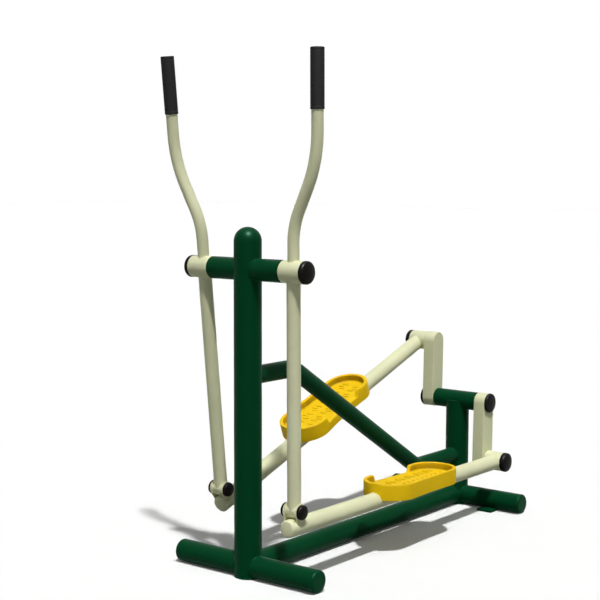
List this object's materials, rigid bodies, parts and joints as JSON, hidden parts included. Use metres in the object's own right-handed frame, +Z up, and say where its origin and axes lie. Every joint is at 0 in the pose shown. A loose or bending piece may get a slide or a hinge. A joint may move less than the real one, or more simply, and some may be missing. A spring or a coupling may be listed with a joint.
{
  "type": "outdoor air walker",
  "caption": "Outdoor stand-on air walker: a tube frame with rocking hand levers, pedal bars with foot trays and a crank set.",
  "frame": {"origin": "foot of the main post, on the ground, on the post's axis", "axes": "+Z up; +X to the user's right, along the cross bar; +Y rearwards, from the main post to the cranks"},
  "size_m": [0.6044, 1.4351, 1.6781],
  "materials": {
    "green_paint": "gloss powder coat, dark green",
    "cream_paint": "semi-gloss powder coat, cream",
    "yellow_plastic": "moulded, semi-gloss, yellow",
    "black_cap": "moulded, gloss, near black",
    "grip_rubber": "matte, fine ribs",
    "steel": "zinc plated or ground"
  },
  "bodies": {
    "frame": {"main_post": "green_paint", "post_dome": "green_paint", "post_foot_discs": "green_paint", "rear_post": "green_paint", "front_base_tubes": "green_paint", "rear_base_tubes": "green_paint", "base_tube_caps": "green_paint", "long_base_tube": "green_paint", "ground_lugs": "green_paint", "brace_tube": "green_paint", "shaft_housing": "green_paint", "housing_bearings": "steel", "pivot_bar": "green_paint", "pivot_axle": "steel", "axle_collars": "steel", "axle_nuts": "steel"},
    "crank_set": {"crank_shaft": "steel", "right_crank_arm": "cream_paint", "left_crank_arm": "cream_paint", "crank_keys": "steel", "crank_pins": "steel", "crank_pin_bearings": "steel", "crank_nuts": "steel", "hub_caps": "black_cap"},
    "right_lever": {"right_lever_sleeve": "cream_paint", "right_lever_bearings": "steel", "right_handle_tube": "cream_paint", "right_lower_tube": "cream_paint", "right_foot_sleeve": "cream_paint", "right_foot_bearings": "steel", "right_grip": "grip_rubber", "right_lever_cap": "black_cap"},
    "right_pedal_bar": {"right_pedal_tube": "cream_paint", "right_pedal_tube_dome": "cream_paint", "right_foot_clevis": "cream_paint", "right_foot_bolt": "steel", "right_foot_caps": "black_cap", "right_crank_sleeve": "cream_paint", "right_crank_sleeve_cap": "black_cap", "right_footboard": "yellow_plastic", "right_footboard_bracket": "cream_paint", "right_footboard_bolts": "steel"},
    "left_lever": {"left_lever_sleeve": "cream_paint", "left_lever_bearings": "steel", "left_handle_tube": "cream_paint", "left_lower_tube": "cream_paint", "left_foot_sleeve": "cream_paint", "left_foot_bearings": "steel", "left_grip": "grip_rubber", "left_lever_cap": "black_cap"},
    "left_pedal_bar": {"left_pedal_tube": "cream_paint", "left_pedal_tube_dome": "cream_paint", "left_foot_clevis": "cream_paint", "left_foot_bolt": "steel", "left_foot_caps": "black_cap", "left_crank_sleeve": "cream_paint", "left_crank_sleeve_cap": "black_cap", "left_footboard": "yellow_plastic", "left_footboard_bracket": "cream_paint", "left_footboard_bolts": "steel"}
  },
  "joints": [
    {"name": "crank_turn", "type": "hinge", "parent": "frame", "child": "crank_set", "pos_m": [0, 1.272, 0.413], "axis": [1, 0, 0], "range_deg": [-20, 20]},
    {"name": "right_lever_swing", "type": "hinge", "parent": "frame", "child": "right_lever", "pos_m": [0.1862, 0, 0.997], "axis": [1, 0, 0], "range_deg": [-6.5, 6.5]},
    {"name": "right_pedal_hinge", "type": "hinge", "parent": "right_lever", "child": "right_pedal_bar", "pos_m": [0.1862, 0.00624, 0.24353], "axis": [1, 0, 0], "range_deg": [-6.5, 6.5]},
    {"name": "left_lever_swing", "type": "hinge", "parent": "frame", "child": "left_lever", "pos_m": [-0.1862, 0, 0.997], "axis": [1, 0, 0], "range_deg": [-6.5, 6.5]},
    {"name": "left_pedal_hinge", "type": "hinge", "parent": "left_lever", "child": "left_pedal_bar", "pos_m": [-0.1862, 0.07791, 0.24754], "axis": [1, 0, 0], "range_deg": [-6.5, 6.5]}
  ],
  "couplings": [
    {"joint": "right_lever_swing", "follows": "crank_turn", "ratio": 0.29563},
    {"joint": "right_pedal_hinge", "follows": "crank_turn", "ratio": -0.30171},
    {"joint": "left_lever_swing", "follows": "crank_turn", "ratio": -0.2847},
    {"joint": "left_pedal_hinge", "follows": "crank_turn", "ratio": 0.30804}
  ]
}
